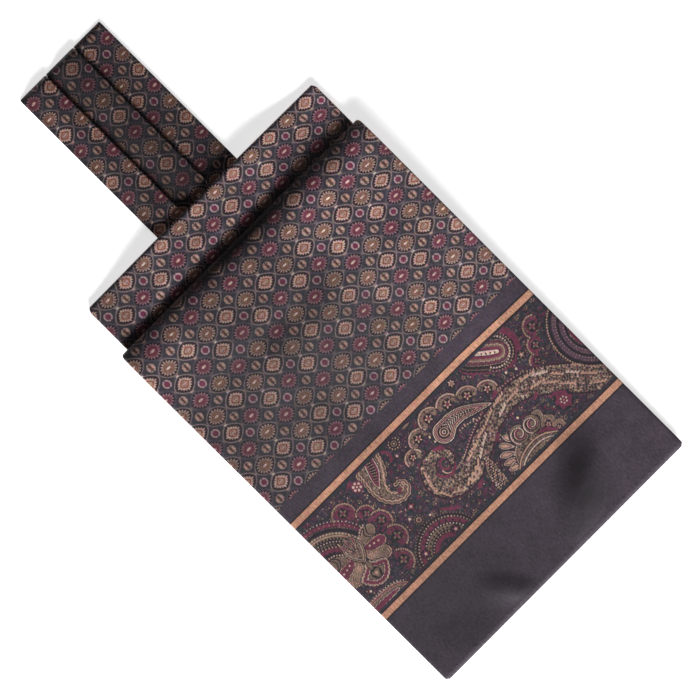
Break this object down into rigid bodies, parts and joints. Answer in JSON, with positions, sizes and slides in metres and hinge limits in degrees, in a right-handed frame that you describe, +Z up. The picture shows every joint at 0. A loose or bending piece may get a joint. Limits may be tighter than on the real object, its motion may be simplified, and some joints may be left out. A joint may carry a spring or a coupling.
{
  "type": "silk cravat",
  "caption": "Folded silk cravat lying flat: a wide bordered front blade rolled and turned over, above a narrow knife-pleated neck band.",
  "frame": {"origin": "middle of the footprint, on the surface that the cravat rests on", "axes": "+X across the blade, +Y from the blade's tip towards the folded end of the neck band, +Z up off the surface"},
  "size_m": [0.155, 0.33, 0.0178],
  "materials": {
    "silk_front": "silk twill with a printed foulard and paisley border",
    "silk_turnover": "silk twill with a printed foulard",
    "silk_layers": "silk twill, plain ground at the edges",
    "silk_neck": "silk twill with a printed foulard, pleated",
    "silk_neck_under": "silk twill, underside of the band"
  },
  "bodies": {
    "root": {"blade_front": "silk_front", "blade_turnover": "silk_turnover", "folded_layers": "silk_layers", "neck_band_upper": "silk_neck", "neck_band_lower": "silk_neck_under"}
  },
  "joints": []
}
